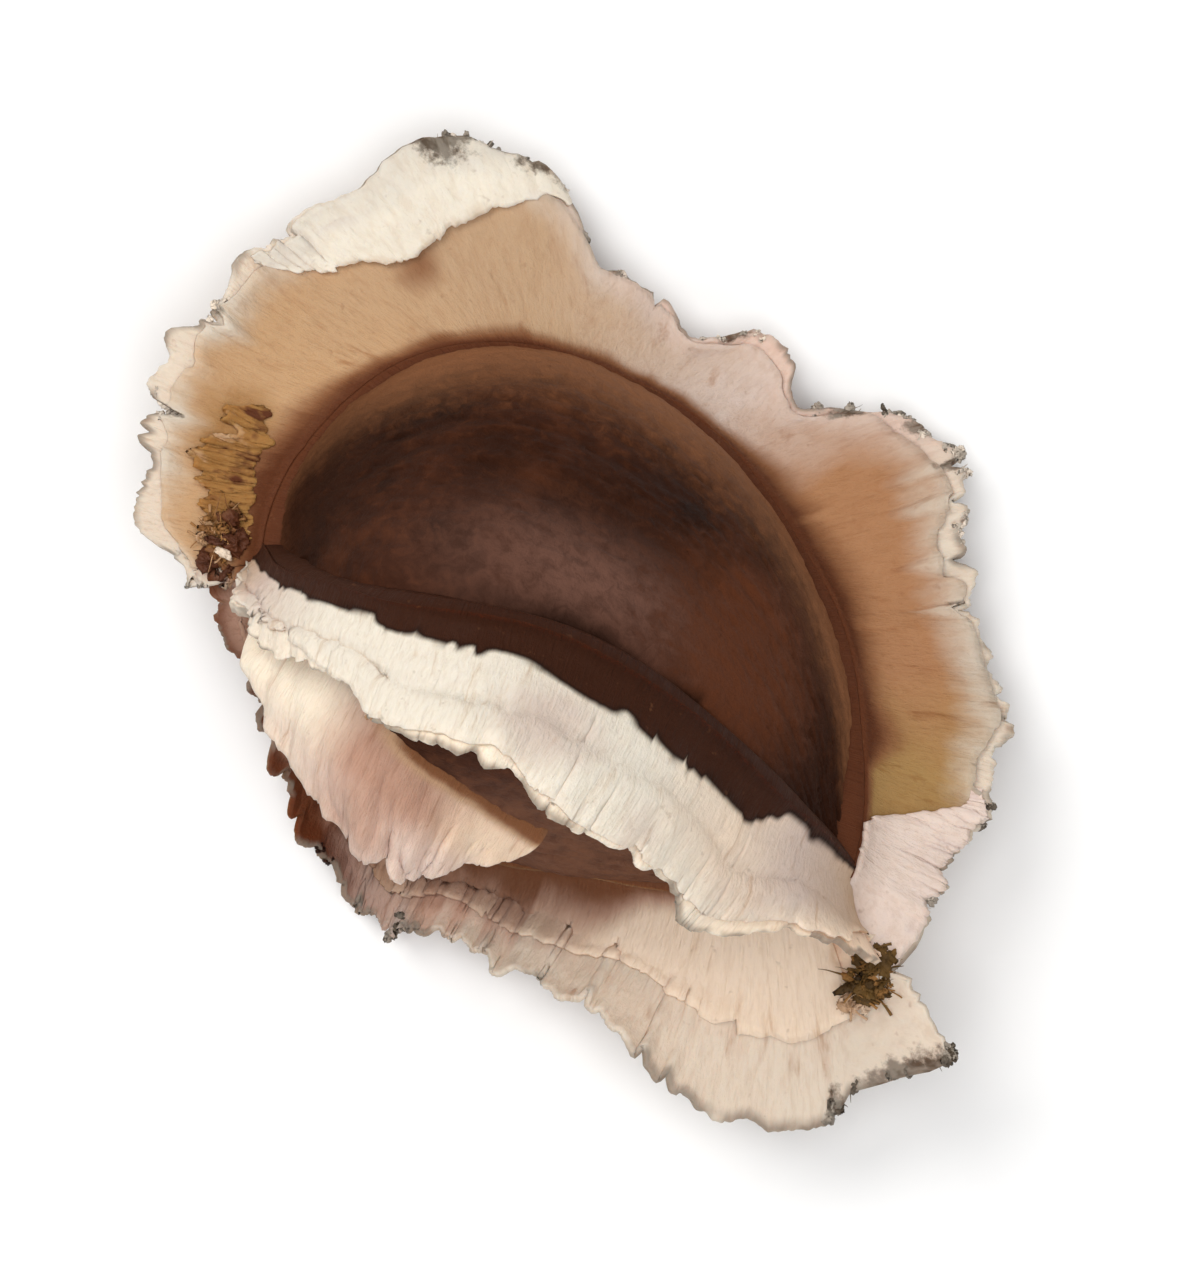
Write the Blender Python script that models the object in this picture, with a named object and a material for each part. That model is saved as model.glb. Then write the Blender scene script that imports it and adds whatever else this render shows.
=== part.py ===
"""A moringa seed lying on a surface: a dark three-cornered hull with a papery wing along
each corner, torn short as dry wings are. It grew as one piece, so it is one closed solid.

+X runs along the seed to its pointed end, +Y to the wing that is spread on the surface and
+Z up. The origin is on that surface, under the widest part of the hull, where it is cut
flat. The design is in millimetres, and meshes are made in metres.
"""

import math
from collections import namedtuple

import bmesh
import bpy
from mathutils import Vector, noise

MM = 0.001

# Hull, in mm: an egg with three rounded corners, widest at x = 0
BLUNT_END = -3.35
POINTED_END = 7.1
HULL_MIDDLE = (BLUNT_END + POINTED_END) / 2
HALF_LENGTH = (POINTED_END - BLUNT_END) / 2
CORNER_RADIUS = 4.45
FACET_RADIUS = 3.5
CORNER_SHARPNESS = 1.35
BLUNTNESS = 0.62
POINTEDNESS = 0.87
# Its axis bends to -Y at the ends, so that it is fuller on the side of the spread wing, and
# its corners turn a little towards the blunt end
BLUNT_END_LEAN = 1.9
POINTED_END_LEAN = 1.0
BLUNT_END_TWIST = math.radians(9)
TWIST_LENGTH = 6.5

# Pose: the seed lies on one facet, rolled a little away from its spread wing
TOP_CORNER = math.radians(93)
FLAT_DEPTH = 0.25
AXIS_HEIGHT = FACET_RADIUS - FLAT_DEPTH

# Mesh steps
HULL_RINGS = 26
HULL_SIDES = 48
ROOT_STEPS = 60
REACH_STEPS = 5
PROFILE_STEPS = 400
FLAP_STEPS = 24
FLAP_ROWS = 6

# Wings, in mm and degrees. reach pairs a place along the root, 0 at the blunt end and 1 at
# the pointed end, with how far the wing stands out there. lean turns the wing about its
# root, at the root and at the rim, towards the next corner round
WING_THICKNESS = 0.6
ROOT_SINK = 0.85
LEAST_CLEARANCE = 0.12
HALF_WAVES = 9
UPRIGHT_END = 0.22
Wing = namedtuple("Wing", "name turn reach root_lean rim_lean wave overshoot seed")
WINGS = (
    Wing(
        "spread_wing",
        -120,
        (
            (0.00, 1.0), (0.06, 1.7), (0.20, 2.3), (0.28, 2.5), (0.325, 2.8), (0.36, 3.4),
            (0.385, 3.2), (0.405, 1.9), (0.46, 1.55), (0.49, 2.1), (0.525, 1.8), (0.56, 2.9),
            (0.60, 3.1), (0.66, 2.6), (0.78, 2.5), (0.86, 2.2), (0.94, 1.8), (1.00, 1.6),
        ),
        2, 20, 0.16, 0.10, 3,
    ),
    Wing(
        "top_wing",
        0,
        (
            (0.00, 0.4), (0.10, 0.6), (0.20, 0.85), (0.29, 1.2), (0.36, 2.0), (0.44, 2.4),
            (0.62, 2.9), (0.78, 2.4), (0.90, 1.8), (1.00, 1.1),
        ),
        22, 74, 0.14, 0.13, 11,
    ),
    Wing(
        "tucked_wing",
        120,
        (
            (0.00, 0.6), (0.08, 0.85), (0.14, 0.95), (0.20, 1.3), (0.28, 1.75), (0.36, 2.1),
            (0.46, 1.95), (0.56, 1.75), (0.66, 2.1), (0.76, 2.6), (0.88, 3.5), (0.95, 3.7),
            (1.00, 3.0),
        ),
        -14, -66, 0.12, 0.16, 29,
    ),
)
RIM_RAGGEDNESS = 0.34
TEARS_ALONG_RIM = 16.7
FINE_TEARS = 2.7
FINE_TEAR_DEPTH = 0.6

# A membrane that has come loose on the facet between the top and the tucked wing: a tongue
# with rounded ends, rooted along a line that slants down the facet
FLAP_TURNS = (5, 66)
FLAP_ENDS = (0.06, 0.61)
FLAP_ROOT = -0.75
FLAP_REACH = 2.3
FLAP_ROUNDNESS = 0.5
FLAP_LEAN = 40
FLAP_CURL = 30
FLAP_SEED = 31

# Fibrous crumbs where the wings meet past each end: centre along X, half sizes
CRUMBS = (
    ("blunt_crumb", -3.75, (0.8, 0.62, 0.66), 5),
    ("pointed_crumb", 8.0, (0.95, 0.6, 0.62), 8),
)
CRUMB_ROUGHNESS = 0.22
CRUMB_LUMPS = 2.6

# Points nearer than this are one point, and edges sharper than this stay sharp
MERGE_DISTANCE = 0.003
SHARP_ANGLE = math.radians(40)

# Finish
HULL_COLOUR = (0.075, 0.036, 0.022, 1.0)
HULL_ROUGHNESS = 0.55
WING_COLOUR = (0.62, 0.45, 0.32, 1.0)
WING_ROUGHNESS = 0.7


def clear_scene():
    for leftover in list(bpy.data.objects):
        bpy.data.objects.remove(leftover, do_unlink=True)


def smooth_step(fraction):
    fraction = min(max(fraction, 0.0), 1.0)
    return fraction * fraction * (3 - 2 * fraction)


def between(pairs, place):
    """The value at a place, eased from each pair to the next."""
    for (start, low), (end, high) in zip(pairs, pairs[1:]):
        if place <= end:
            return low + (high - low) * smooth_step((place - start) / (end - start))
    return pairs[-1][1]


def fullness(x):
    """The hull's radius at x, as a share of its largest."""
    end, power = (BLUNT_END, BLUNTNESS) if x < 0 else (POINTED_END, POINTEDNESS)
    return (1 - min(x / end, 1.0) ** 2) ** power


def section_radius(turn):
    """The radius at the hull's widest, by the angle in radians from the nearest corner."""
    corner = ((1 + math.cos(3 * turn)) / 2) ** CORNER_SHARPNESS
    return FACET_RADIUS + (CORNER_RADIUS - FACET_RADIUS) * corner


def bend_at(x):
    """How far the axis has moved to -Y at x, and its slope there: straight past the hull."""
    share = (x - HULL_MIDDLE) / HALF_LENGTH
    lean = BLUNT_END_LEAN if share < 0 else POINTED_END_LEAN
    inside = max(-1.0, min(share, 1.0))
    slope = 2 * lean * inside / HALF_LENGTH
    return lean * inside * inside + slope * (share - inside) * HALF_LENGTH, slope


def place(x, radial, angle, aside=0.0):
    """A point at a radius and angle round the bent axis, moved aside along the turn."""
    angle += BLUNT_END_TWIST * smooth_step(0.5 - x / TWIST_LENGTH)
    side = radial * math.cos(angle) - aside * math.sin(angle)
    height = radial * math.sin(angle) + aside * math.cos(angle)
    lean, slope = bend_at(x)
    run = math.hypot(1, slope)
    return Vector((x + side * slope / run, side / run - lean, height + AXIS_HEIGHT))


def root_line(turn):
    """(x, radius, outward x, outward radius) at even steps along the hull at one turn."""
    share = section_radius(math.radians(turn))
    points = []
    for step in range(PROFILE_STEPS + 1):
        x = HULL_MIDDLE - HALF_LENGTH * math.cos(math.pi * step / PROFILE_STEPS)
        points.append((x, share * fullness(x)))
    lengths = [0.0]
    for (x0, r0), (x1, r1) in zip(points, points[1:]):
        lengths.append(lengths[-1] + math.hypot(x1 - x0, r1 - r0))

    def at(fraction):
        wanted = min(max(fraction, 0.0), 1.0) * lengths[-1]
        index = next(i for i, length in enumerate(lengths) if length >= wanted)
        index = min(max(index, 1), PROFILE_STEPS)
        (x0, r0), (x1, r1) = points[index - 1], points[index]
        share = (wanted - lengths[index - 1]) / (lengths[index] - lengths[index - 1])
        run = math.hypot(x1 - x0, r1 - r0)
        return (
            x0 + (x1 - x0) * share,
            r0 + (r1 - r0) * share,
            -(r1 - r0) / run,
            (x1 - x0) / run,
        )

    return at


def rim_tear(fraction, seed):
    """How much the torn rim strays, in mm, at a place along the root."""
    along = fraction * TEARS_ALONG_RIM
    coarse = noise.noise(Vector((along, seed, 0.5)))
    fine = noise.noise(Vector((along * FINE_TEARS, seed, 7.5)))
    return RIM_RAGGEDNESS * (coarse + FINE_TEAR_DEPTH * fine)


def mesh_object(name, points, faces, material):
    """A closed mesh object from points in mm, with its faces turned outwards."""
    mesh = bpy.data.meshes.new(name)
    mesh.from_pydata([point * MM for point in points], [], faces)
    mesh.materials.append(material)
    solid = bmesh.new()
    solid.from_mesh(mesh)
    bmesh.ops.recalc_face_normals(solid, faces=solid.faces)
    if solid.calc_volume(signed=True) < 0:
        bmesh.ops.reverse_faces(solid, faces=solid.faces)
    solid.to_mesh(mesh)
    solid.free()
    piece = bpy.data.objects.new(name, mesh)
    bpy.context.scene.collection.objects.link(piece)
    return piece


def hull(material):
    """The hull, cut flat where it lies."""
    points = [place(BLUNT_END, 0, 0)]
    for ring in range(1, HULL_RINGS):
        x = HULL_MIDDLE - HALF_LENGTH * math.cos(math.pi * ring / HULL_RINGS)
        for side in range(HULL_SIDES):
            turn = 2 * math.pi * side / HULL_SIDES
            points.append(place(x, section_radius(turn) * fullness(x), TOP_CORNER + turn))
    points.append(place(POINTED_END, 0, 0))
    last = len(points) - 1
    faces = []
    for side in range(HULL_SIDES):
        after = (side + 1) % HULL_SIDES
        faces.append((0, 1 + after, 1 + side))
        for ring in range(HULL_RINGS - 2):
            row = 1 + ring * HULL_SIDES
            faces.append((row + side, row + after, row + HULL_SIDES + after, row + HULL_SIDES + side))
        row = 1 + (HULL_RINGS - 2) * HULL_SIDES
        faces.append((row + side, row + after, last))
    body = mesh_object("seed", points, faces, material)
    cut = bmesh.new()
    cut.from_mesh(body.data)
    bmesh.ops.bisect_plane(
        cut, geom=cut.verts[:] + cut.edges[:] + cut.faces[:], dist=1e-7,
        plane_co=(0, 0, 0), plane_no=(0, 0, 1), clear_inner=True,
    )
    bmesh.ops.holes_fill(cut, edges=[edge for edge in cut.edges if edge.is_boundary])
    bmesh.ops.recalc_face_normals(cut, faces=cut.faces)
    cut.to_mesh(body.data)
    cut.free()
    return body


def blade(name, sheet, material):
    """A closed blade round a grid of points, split into triangles alike on both faces."""
    rows, columns = len(sheet), len(sheet[0])
    over, under = [], []
    for i in range(rows):
        for j in range(columns):
            along = sheet[min(i + 1, rows - 1)][j] - sheet[max(i - 1, 0)][j]
            across = sheet[i][min(j + 1, columns - 1)] - sheet[i][max(j - 1, 0)]
            half = along.cross(across).normalized() * WING_THICKNESS / 2
            over.append(lifted(sheet[i][j] + half))
            under.append(lifted(sheet[i][j] - half))
    back = rows * columns
    faces = []
    for i in range(rows - 1):
        for j in range(columns - 1):
            a, b = i * columns + j, (i + 1) * columns + j
            for corners in ((a, b, b + 1), (a, b + 1, a + 1)):
                faces.append(corners)
                faces.append(tuple(back + corner for corner in reversed(corners)))
    loop = [(i, 0) for i in range(rows)] + [(rows - 1, j) for j in range(1, columns)]
    loop += [(i, columns - 1) for i in range(rows - 2, -1, -1)]
    loop += [(0, j) for j in range(columns - 2, 0, -1)]
    edge = [i * columns + j for i, j in loop]
    for a, b in zip(edge, edge[1:] + edge[:1]):
        faces.append((a, back + b, b))
        faces.append((a, back + a, back + b))
    return mesh_object(name, over + under, faces, material)


def lifted(point):
    """The point, kept clear of the surface that the seed lies on."""
    if point.z < LEAST_CLEARANCE:
        return Vector((point.x, point.y, LEAST_CLEARANCE))
    return point


def wing(kind, material):
    """A wing: its sheet follows the corner round both ends of the hull."""
    corner = TOP_CORNER + math.radians(kind.turn)
    line = root_line(0)
    sheet = []
    for step in range(ROOT_STEPS + 1):
        fraction = step / ROOT_STEPS
        x, radius, out_x, out_r = line(fraction)
        if step in (0, ROOT_STEPS):
            radius, out_x, out_r = -kind.overshoot, (1 if step else -1), 0.0
        reach = between(kind.reach, fraction) + rim_tear(fraction, kind.seed)
        ends = smooth_step(min(fraction, 1 - fraction) / UPRIGHT_END)
        row = [place(x - out_x * ROOT_SINK, radius - out_r * ROOT_SINK, corner)]
        far, aside = 0.0, 0.0
        for reach_step in range(REACH_STEPS + 1):
            share = reach_step / REACH_STEPS
            phase = HALF_WAVES * fraction * math.pi + kind.seed
            ripple = kind.wave * share * math.sin(phase)
            row.append(place(x + out_x * far, radius + out_r * far, corner, aside + ripple * ends))
            lean = math.radians(kind.root_lean + (kind.rim_lean - kind.root_lean) * share) * ends
            far += reach / REACH_STEPS * math.cos(lean)
            aside += reach / REACH_STEPS * math.sin(lean)
        sheet.append(row)
    return blade(kind.name, sheet, material)


def flap(material):
    """The loose membrane: rooted in its facet, it hangs out over the tucked wing."""
    start, end = FLAP_ENDS
    sheet = []
    for step in range(FLAP_STEPS + 1):
        share = (1 - math.cos(math.pi * step / FLAP_STEPS)) / 2
        turn = FLAP_TURNS[0] + (FLAP_TURNS[1] - FLAP_TURNS[0]) * share
        angle = TOP_CORNER + math.radians(turn)
        x, radius, out_x, out_r = root_line(turn)(start + (end - start) * share)
        bulge = max(math.sin(math.pi * share), 0.0) ** FLAP_ROUNDNESS
        reach = (FLAP_REACH + rim_tear(share / 2, FLAP_SEED)) * bulge + FLAP_ROOT / 3
        row = []
        for reach_step in range(FLAP_ROWS):
            far = FLAP_ROOT + (reach - FLAP_ROOT) * reach_step / (FLAP_ROWS - 1)
            lean = math.radians(FLAP_LEAN + FLAP_CURL * max(far, 0.0) / FLAP_REACH)
            outward = far * math.cos(lean)
            row.append(place(x + out_x * outward, radius + out_r * outward, angle, far * math.sin(lean)))
        sheet.append(row)
    return blade("flap", sheet, material)


def crumb(name, x, half_sizes, seed, material):
    """A rough lump of torn fibres on the axis."""
    ball = bmesh.new()
    bmesh.ops.create_icosphere(ball, subdivisions=2, radius=1.0)
    ball.verts.ensure_lookup_table()
    points = []
    for vert in ball.verts:
        lump = noise.noise(vert.co * CRUMB_LUMPS + Vector((seed, 0, 0)))
        swell = 1 + CRUMB_ROUGHNESS * lump
        point = Vector(size * value * swell for size, value in zip(half_sizes, vert.co))
        middle = place(x, 0, 0)
        points.append(middle + point)
    faces = [tuple(vert.index for vert in face.verts) for face in ball.faces]
    ball.free()
    return mesh_object(name, points, faces, material)


def principled(name, colour, roughness):
    material = bpy.data.materials.new(name)
    material.use_nodes = True
    shader = material.node_tree.nodes["Principled BSDF"]
    shader.inputs["Base Color"].default_value = colour
    shader.inputs["Roughness"].default_value = roughness
    shader.inputs["Metallic"].default_value = 0.0
    material.diffuse_color = colour
    return material


def fuse(body, pieces):
    """Joins the pieces to the body as one solid, and removes them."""
    grown = bpy.data.collections.new("grown")
    bpy.context.scene.collection.children.link(grown)
    for piece in pieces:
        bpy.context.scene.collection.objects.unlink(piece)
        grown.objects.link(piece)
    union = body.modifiers.new("grown_together", "BOOLEAN")
    union.operation = "UNION"
    union.operand_type = "COLLECTION"
    union.collection = grown
    union.solver = "EXACT"
    union.material_mode = "TRANSFER"
    graph = bpy.context.evaluated_depsgraph_get()
    joined = bpy.data.meshes.new_from_object(body.evaluated_get(graph))
    body.modifiers.clear()
    body.data = joined
    for piece in pieces:
        bpy.data.objects.remove(piece, do_unlink=True)
    bpy.data.collections.remove(grown)


def tidy(body):
    """Merges points that the union left almost on each other, and shades the hull smooth."""
    mesh = bmesh.new()
    mesh.from_mesh(body.data)
    bmesh.ops.remove_doubles(mesh, verts=mesh.verts, dist=MERGE_DISTANCE * MM)
    bmesh.ops.triangulate(mesh, faces=mesh.faces)
    mesh.to_mesh(body.data)
    mesh.free()
    body.data.shade_smooth()
    body.data.set_sharp_from_angle(angle=SHARP_ANGLE)


def build_seed():
    hull_material = principled("hull", HULL_COLOUR, HULL_ROUGHNESS)
    wing_material = principled("wings", WING_COLOUR, WING_ROUGHNESS)
    body = hull(hull_material)
    pieces = [wing(kind, wing_material) for kind in WINGS]
    pieces.append(flap(wing_material))
    pieces += [crumb(*crumb_sizes, wing_material) for crumb_sizes in CRUMBS]
    fuse(body, pieces)
    tidy(body)


clear_scene()
build_seed()
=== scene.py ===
import itertools
import math
from collections import namedtuple

import bpy
import numpy as np
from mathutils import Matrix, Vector, noise


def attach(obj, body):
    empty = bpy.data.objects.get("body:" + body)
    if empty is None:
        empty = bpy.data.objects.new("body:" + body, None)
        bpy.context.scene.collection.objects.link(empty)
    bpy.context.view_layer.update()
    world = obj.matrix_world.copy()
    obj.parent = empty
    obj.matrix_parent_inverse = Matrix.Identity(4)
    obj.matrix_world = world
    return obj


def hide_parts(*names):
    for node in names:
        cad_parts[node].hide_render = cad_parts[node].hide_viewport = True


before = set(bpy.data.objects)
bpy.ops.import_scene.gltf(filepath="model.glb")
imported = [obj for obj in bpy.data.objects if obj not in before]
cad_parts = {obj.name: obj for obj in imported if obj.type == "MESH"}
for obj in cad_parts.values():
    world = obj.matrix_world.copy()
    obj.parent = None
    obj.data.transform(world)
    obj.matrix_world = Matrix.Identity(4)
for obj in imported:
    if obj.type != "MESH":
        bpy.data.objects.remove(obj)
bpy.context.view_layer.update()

MM = 0.001

# Hull, as in the solid, in mm
BLUNT_END = -3.35
POINTED_END = 7.1
HULL_MIDDLE = (BLUNT_END + POINTED_END) / 2
HALF_LENGTH = (POINTED_END - BLUNT_END) / 2
CORNER_RADIUS = 4.45
FACET_RADIUS = 3.5
CORNER_SHARPNESS = 1.35
BLUNTNESS = 0.62
POINTEDNESS = 0.87
BLUNT_END_LEAN = 1.9
POINTED_END_LEAN = 1.0
BLUNT_END_TWIST = math.radians(9)
TWIST_LENGTH = 6.5
TOP_CORNER = math.radians(93)
FLAT_DEPTH = 0.25
AXIS_HEIGHT = FACET_RADIUS - FLAT_DEPTH

# Wings, as in the solid, but as thin as paper, in mm
ROOT_SINK = 0.85
HALF_WAVES = 9
UPRIGHT_END = 0.22
RIM_RAGGEDNESS = 0.34
TEARS_ALONG_RIM = 16.7
FINE_TEARS = 2.7
FINE_TEAR_DEPTH = 0.6
TEAR_PLANES = (0.5, 7.5)

# A wing's fields, in degrees and mm. It grows from the hull's corner at turn, its side up faces up,
# and its ends go past the hull's axis by overshoot. wave, curl and fold are its ripples, its rim's
# turn and its crease, and hardness is how sharply its stain ends. reach and stain give pairs: how
# far out it and its stain go, at places along its root.
Wing = namedtuple(
    "Wing", "turn up seed root_lean rim_lean overshoot wave curl pucker tears fold hardness reach stain"
)
SPREAD = Wing(
    turn=-120, up=1, seed=3, root_lean=2, rim_lean=20, overshoot=0.10,
    wave=0.16, curl=40, pucker=0.75, tears=0.9, fold=0.0, hardness=1.0,
    reach=(
        (0.00, 1.0), (0.06, 1.7), (0.20, 2.3), (0.28, 2.5), (0.325, 2.8), (0.36, 3.4),
        (0.385, 3.2), (0.405, 1.9), (0.46, 1.55), (0.49, 2.1), (0.525, 1.8), (0.56, 2.9),
        (0.60, 3.1), (0.66, 2.6), (0.78, 2.5), (0.86, 2.2), (0.94, 1.8), (1.00, 1.6),
    ),
    stain=(
        (0.00, 1.0), (0.10, 1.4), (0.17, 0.8), (0.28, 0.5), (0.45, 0.6), (0.60, 1.1),
        (0.82, 1.1), (0.87, 0.3), (1.00, 0.2),
    ),
)
TOP = Wing(
    turn=0, up=-1, seed=11, root_lean=22, rim_lean=74, overshoot=0.13,
    wave=0.14, curl=20, pucker=0.28, tears=0.35, fold=0.13, hardness=3.0,
    reach=(
        (0.00, 0.4), (0.10, 0.6), (0.20, 0.85), (0.29, 1.2), (0.36, 2.0), (0.44, 2.4),
        (0.62, 2.9), (0.78, 2.4), (0.90, 1.8), (1.00, 1.1),
    ),
    # Where its stain ends it is black: painted shadow along its root
    stain=(
        (0.00, 0.15), (0.28, 0.22), (0.42, 0.60), (0.60, 0.85), (0.76, 0.80), (0.83, 0.20),
        (1.00, 0.10),
    ),
)
TUCKED = Wing(
    turn=120, up=-1, seed=29, root_lean=-14, rim_lean=-66, overshoot=0.16,
    wave=0.12, curl=30, pucker=0.40, tears=0.6, fold=0.10, hardness=1.0,
    reach=(
        (0.00, 0.6), (0.08, 0.85), (0.14, 0.95), (0.20, 1.3), (0.28, 1.75), (0.36, 2.1),
        (0.46, 1.95), (0.56, 1.75), (0.66, 2.1), (0.76, 2.6), (0.88, 3.5), (0.95, 3.7),
        (1.00, 3.0),
    ),
    stain=(
        (0.00, 1.0), (0.30, 1.6), (0.45, 2.4), (0.60, 2.8), (0.72, 2.2), (0.82, 0.8), (1.00, 0.4),
    ),
)

# Mesh steps
HULL_RINGS = 260
HULL_SIDES = 300
PROFILE_STEPS = 2000
WING_ROWS = 640
WING_COLUMNS = 34
SINK_COLUMNS = 4
REACH_STEPS = 60
SKIN_ROWS = 380
SKIN_COLUMNS = 14
PATCH_ROWS = 200

# How near the surface that the seed lies on anything comes, in mm
LEAST_CLEARANCE = 0.04


# Shapes of the hull and noise


def ease(share):
    """From 0 to 1 as the share does, level at both ends."""
    share = np.clip(share, 0.0, 1.0)
    return share * share * (3 - 2 * share)


def unit(vectors):
    return vectors / np.linalg.norm(vectors, axis=-1, keepdims=True)


def between(pairs, where):
    """The value at each place, eased from each pair to the next."""
    places, values = np.array(pairs).T
    after = np.clip(np.searchsorted(places, where), 1, len(places) - 1)
    share = (where - places[after - 1]) / (places[after] - places[after - 1])
    return values[after - 1] + (values[after] - values[after - 1]) * ease(share)


def fullness(x):
    """The hull's radius at x, as a share of its largest."""
    blunt = (1 - np.clip(x / BLUNT_END, 0, 1) ** 2) ** BLUNTNESS
    pointed = (1 - np.clip(x / POINTED_END, 0, 1) ** 2) ** POINTEDNESS
    return np.where(x < 0, blunt, pointed)


def section_radius(turn):
    """The radius at the hull's widest, by the angle in radians from the nearest corner."""
    corner = ((1 + np.cos(3 * turn)) / 2) ** CORNER_SHARPNESS
    return FACET_RADIUS + (CORNER_RADIUS - FACET_RADIUS) * corner


def bend_at(x):
    """How far the axis has moved to -Y at x, and its slope there."""
    share = (x - HULL_MIDDLE) / HALF_LENGTH
    lean = np.where(share < 0, BLUNT_END_LEAN, POINTED_END_LEAN)
    inside = np.clip(share, -1.0, 1.0)
    slope = 2 * lean * inside / HALF_LENGTH
    return lean * inside * inside + slope * (share - inside) * HALF_LENGTH, slope


def place(x, radial, angle, aside=0.0):
    """Points in mm at a radius and angle round the bent axis, moved aside along the turn."""
    angle = angle + BLUNT_END_TWIST * ease(0.5 - x / TWIST_LENGTH)
    side = radial * np.cos(angle) - aside * np.sin(angle)
    height = radial * np.sin(angle) + aside * np.cos(angle)
    lean, slope = bend_at(x)
    run = np.hypot(1, slope)
    parts = (x + side * slope / run, side / run - lean, height + AXIS_HEIGHT)
    return np.stack(np.broadcast_arrays(*parts), axis=-1)


def root_line(turn):
    """A function to (x, radius, outward x, outward radius) along the hull at one turn."""
    steps = np.linspace(0, math.pi, PROFILE_STEPS + 1)
    x = HULL_MIDDLE - HALF_LENGTH * np.cos(steps)
    radius = section_radius(math.radians(turn)) * fullness(x)
    step_x, step_r = np.diff(x), np.diff(radius)
    run = np.hypot(step_x, step_r)
    length = np.concatenate([[0], np.cumsum(run)])
    middle = (length[1:] + length[:-1]) / 2

    def at(fraction):
        wanted = np.clip(fraction, 0, 1) * length[-1]
        out_x = np.interp(wanted, middle, -step_r / run)
        out_r = np.interp(wanted, middle, step_x / run)
        size = np.hypot(out_x, out_r)
        return np.interp(wanted, length, x), np.interp(wanted, length, radius), out_x / size, out_r / size

    return at


NOISE_TABLE = 256
NOISE_STRENGTH = 1.7


def grain(points, seed):
    """Smooth noise, about -1 to 1, with lumps about one unit apart."""
    draw = np.random.default_rng(seed)
    order = draw.permutation(NOISE_TABLE)
    slopes = unit(draw.normal(size=(NOISE_TABLE, 3)))
    points = np.asarray(points, float)
    cell = np.floor(points).astype(int)
    inside = points - cell
    fade = inside**3 * (inside * (inside * 6 - 15) + 10)
    total = np.zeros(points.shape[:-1])
    for corner in itertools.product((0, 1), repeat=3):
        spot = cell + corner
        index = order[spot[..., 0] % NOISE_TABLE]
        index = order[(index + spot[..., 1]) % NOISE_TABLE]
        index = order[(index + spot[..., 2]) % NOISE_TABLE]
        push = ((inside - corner) * slopes[index]).sum(axis=-1)
        weight = np.where(corner, fade, 1 - fade).prod(axis=-1)
        total += push * weight
    return total * NOISE_STRENGTH


def layered(points, seed, layers=4, roughness=0.5):
    """Noise of several sizes, each half as large as the one before."""
    points = np.asarray(points, float)
    total, strength = 0.0, 1.0
    for layer in range(layers):
        total = total + strength * grain(points * 2**layer, seed + layer)
        strength *= roughness
    return total


def on_grid(*parts):
    return np.stack(np.broadcast_arrays(*parts), axis=-1)


def normals_of(sheet):
    across = np.cross(np.gradient(sheet, axis=0), np.gradient(sheet, axis=1))
    size = np.linalg.norm(across, axis=-1, keepdims=True)
    return across / np.maximum(size, 1e-9)


def rim_tear(fraction, seed):
    """How much the solid's rim strays, in mm, at places along the root."""
    tear = []
    for along in fraction * TEARS_ALONG_RIM:
        coarse = noise.noise(Vector((along, seed, TEAR_PLANES[0])))
        fine = noise.noise(Vector((along * FINE_TEARS, seed, TEAR_PLANES[1])))
        tear.append(coarse + FINE_TEAR_DEPTH * fine)
    return RIM_RAGGEDNESS * np.array(tear)


def angular(fraction, count, seed):
    """Straight breaks between random heights of -1 to 1."""
    draw = np.random.default_rng(seed)
    places = np.sort(draw.uniform(0, 1, count))
    return np.interp(fraction, places, draw.uniform(-1, 1, count))


def broken(share, breaks, start=0.0):
    """Straight breaks added to start, each row of them a depth, a number and a seed."""
    return sum((depth * angular(share, count, seed) for depth, count, seed in breaks), start)


def lumps(along, outwards, relief, plane, seed, layers):
    """Noise on a sheet. Its relief is a height, and how close it is along and outwards."""
    height, close_along, close_outwards = relief
    points = on_grid(along * close_along, outwards * close_outwards, plane)
    return height * layered(points, seed, layers)


# Meshes


def put(name, data, location=(0, 0, 0), turn=(0, 0, 0)):
    """Puts a thing in the scene, in metres."""
    made = bpy.data.objects.new(name, data)
    made.location, made.rotation_euler = location, turn
    bpy.context.scene.collection.objects.link(made)
    return made


class Heap:
    """Points, faces and facts about the points, gathered into one mesh."""

    def __init__(self):
        self.points, self.faces, self.facts = [], [], []
        self.count = 0

    def add(self, points, faces, **facts):
        points = np.asarray(points, float).reshape(-1, 3)
        self.faces += [tuple(int(i) + self.count for i in face) for face in faces]
        self.points.append(points)
        self.facts.append({key: np.broadcast_to(value, (len(points),)) for key, value in facts.items()})
        self.count += len(points)

    def piece(self, name, material):
        mesh = bpy.data.meshes.new(name)
        points = np.concatenate(self.points)
        points[:, 2] = np.maximum(points[:, 2], LEAST_CLEARANCE)
        mesh.from_pydata((points * MM).tolist(), [], self.faces)
        for key in self.facts[0]:
            values = np.concatenate([facts[key] for facts in self.facts])
            store = mesh.attributes.new(name=key, type="FLOAT", domain="POINT")
            store.data.foreach_set("value", values.astype(np.float32))
        mesh.shade_smooth()
        mesh.materials.append(material)
        made = put(name, mesh)
        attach(made, "root")
        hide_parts("seed")


def blade_faces(rows, columns):
    """The faces of a closed blade: its two sides and the strip round its rim."""
    index = np.arange(rows * columns).reshape(rows, columns)
    over = np.stack([index[:-1, :-1], index[1:, :-1], index[1:, 1:], index[:-1, 1:]], axis=-1)
    over = over.reshape(-1, 4)
    back = rows * columns
    edge = np.concatenate([index[:, 0], index[-1, 1:], index[-2::-1, -1], index[0, -2:0:-1]])
    after = np.roll(edge, -1)
    strip = np.stack([after, edge, back + edge, back + after], axis=-1)
    return np.concatenate([over, back + over[:, ::-1], strip])


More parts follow.
